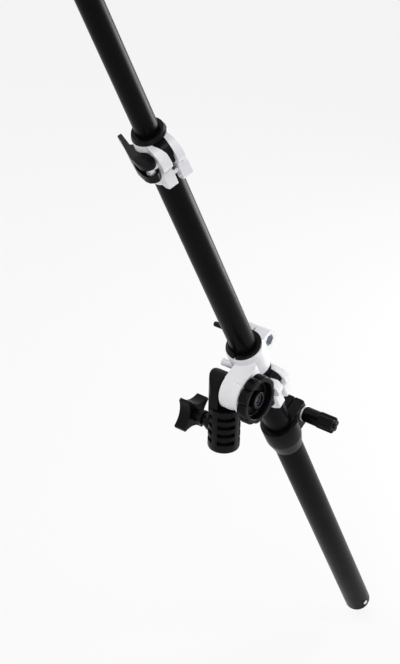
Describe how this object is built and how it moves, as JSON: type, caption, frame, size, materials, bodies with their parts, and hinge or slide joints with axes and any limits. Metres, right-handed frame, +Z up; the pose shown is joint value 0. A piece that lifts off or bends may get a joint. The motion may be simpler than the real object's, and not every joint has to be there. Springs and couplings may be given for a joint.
{
  "type": "reflector holder arm",
  "caption": "Telescoping reflector holder arm: lever-clamped pole in a white tilting bracket on a spigot socket, with a clip at the tip and a clamped handle.",
  "frame": {"origin": "centre of the blind end of the stand socket's bore, where the top of the stand's spigot seats", "axes": "+X along the tilt bolt from the ear to the tilt knob, +Y to the side of the handle, +Z up along the stand"},
  "size_m": [0.1087, 0.5881, 1.042],
  "materials": {
    "white_casting": "satin white powder coat on a casting",
    "black_plastic": "black moulded plastic with a light sheen",
    "black_tube": "black anodised tube, semi-matte",
    "steel": "zinc plated steel",
    "dark_steel": "blue-grey plated nut",
    "brass": "turned brass",
    "black_nylon": "black nylon"
  },
  "bodies": {
    "socket": {"stand_socket": "black_plastic", "socket_thread_insert": "brass", "tilt_bolt": "steel", "tilt_friction_washer": "black_nylon"},
    "spigot_lock": {"spigot_lock_knob": "black_plastic", "spigot_screw": "steel"},
    "tilt_lock": {"tilt_knob": "black_plastic", "tilt_knob_insert": "dark_steel"},
    "bracket": {"pivot_bracket": "white_casting", "tilt_thrust_washer": "steel", "collar_bush": "black_plastic", "bush_set_screw": "steel", "collar_clamp_nut": "dark_steel", "collar_handle_washer": "steel"},
    "collar_lock": {"collar_clamp_handle": "black_plastic", "collar_clamp_bolt": "steel"},
    "middle": {"middle_tube": "black_tube", "middle_tube_plug": "black_nylon", "upper_clamp_collar": "white_casting", "upper_clamp_bush": "black_plastic", "upper_clamp_pin": "steel", "upper_clamp_bolt": "steel", "upper_clamp_nut": "steel", "upper_clamp_fixing_screw": "steel", "upper_clamp_fixing_nut": "steel"},
    "upper_lever": {"upper_clamp_lever": "black_plastic"},
    "upper": {"upper_tube": "black_tube", "upper_tube_plug": "black_nylon", "tip_plug": "black_plastic", "tip_clip_screw": "steel"},
    "clip": {"tip_clip": "black_plastic"},
    "third": {"third_tube": "black_tube", "third_tube_plug": "black_nylon", "lower_clamp_collar": "white_casting", "lower_clamp_bush": "black_plastic", "lower_clamp_pin": "steel", "lower_clamp_bolt": "steel", "lower_clamp_nut": "steel", "lower_clamp_fixing_screw": "steel", "lower_clamp_fixing_nut": "steel"},
    "lower_lever": {"lower_clamp_lever": "black_plastic"},
    "handle": {"handle_tube": "black_tube", "handle_end_cap": "black_plastic", "handle_end_screw": "steel", "handle_head": "black_plastic", "head_nut": "steel", "head_washer": "steel"},
    "head_lock": {"head_knob": "black_plastic", "head_stud": "steel"}
  },
  "joints": [
    {"name": "tilt", "type": "hinge", "parent": "socket", "child": "bracket", "pos_m": [0, 0, 0.029], "axis": [1, 0, 0], "range_deg": [-8, 145]},
    {"name": "tilt_knob_turn", "type": "hinge", "parent": "socket", "child": "tilt_lock", "pos_m": [0, 0, 0.029], "axis": [1, 0, 0], "continuous": true},
    {"name": "spigot_knob_turn", "type": "hinge", "parent": "socket", "child": "spigot_lock", "pos_m": [-0.024, 0, -0.0167], "axis": [-1, 0, 0], "continuous": true},
    {"name": "collar_handle_turn", "type": "hinge", "parent": "bracket", "child": "collar_lock", "pos_m": [-0.0133, 0.04145, 0.06958], "axis": [1, 0, 0], "range_deg": [-60, 60]},
    {"name": "pole_slide", "type": "slide", "parent": "bracket", "child": "middle", "axis": [0, -0.4833, 0.8755], "range_m": [-0.235, 0]},
    {"name": "upper_lever_swing", "type": "hinge", "parent": "middle", "child": "upper_lever", "pos_m": [0.01874, -0.13546, 0.30113], "axis": [0, -0.4833, 0.8755], "range_deg": [0, 110]},
    {"name": "upper_tube_slide", "type": "slide", "parent": "middle", "child": "upper", "axis": [0, -0.4833, 0.8755], "range_m": [-0.25, 0.03]},
    {"name": "clip_swivel", "type": "hinge", "parent": "upper", "child": "clip", "pos_m": [0.0067, -0.2815, 0.61218], "axis": [0, -0.4833, 0.8755], "continuous": true},
    {"name": "third_tube_slide", "type": "slide", "parent": "middle", "child": "third", "axis": [0, -0.4833, 0.8755], "range_m": [-0.1, 0]},
    {"name": "lower_lever_swing", "type": "hinge", "parent": "third", "child": "lower_lever", "pos_m": [0.02656, 0.03102, 0.013], "axis": [0, -0.4833, 0.8755], "range_deg": [0, 8]},
    {"name": "handle_slide", "type": "slide", "parent": "third", "child": "handle", "axis": [0, -0.4833, 0.8755], "range_m": [-0.15, 0.035]},
    {"name": "head_knob_turn", "type": "hinge", "parent": "handle", "child": "head_lock", "pos_m": [0.0237, 0.10647, -0.04324], "axis": [1, 0, 0], "continuous": true}
  ]
}
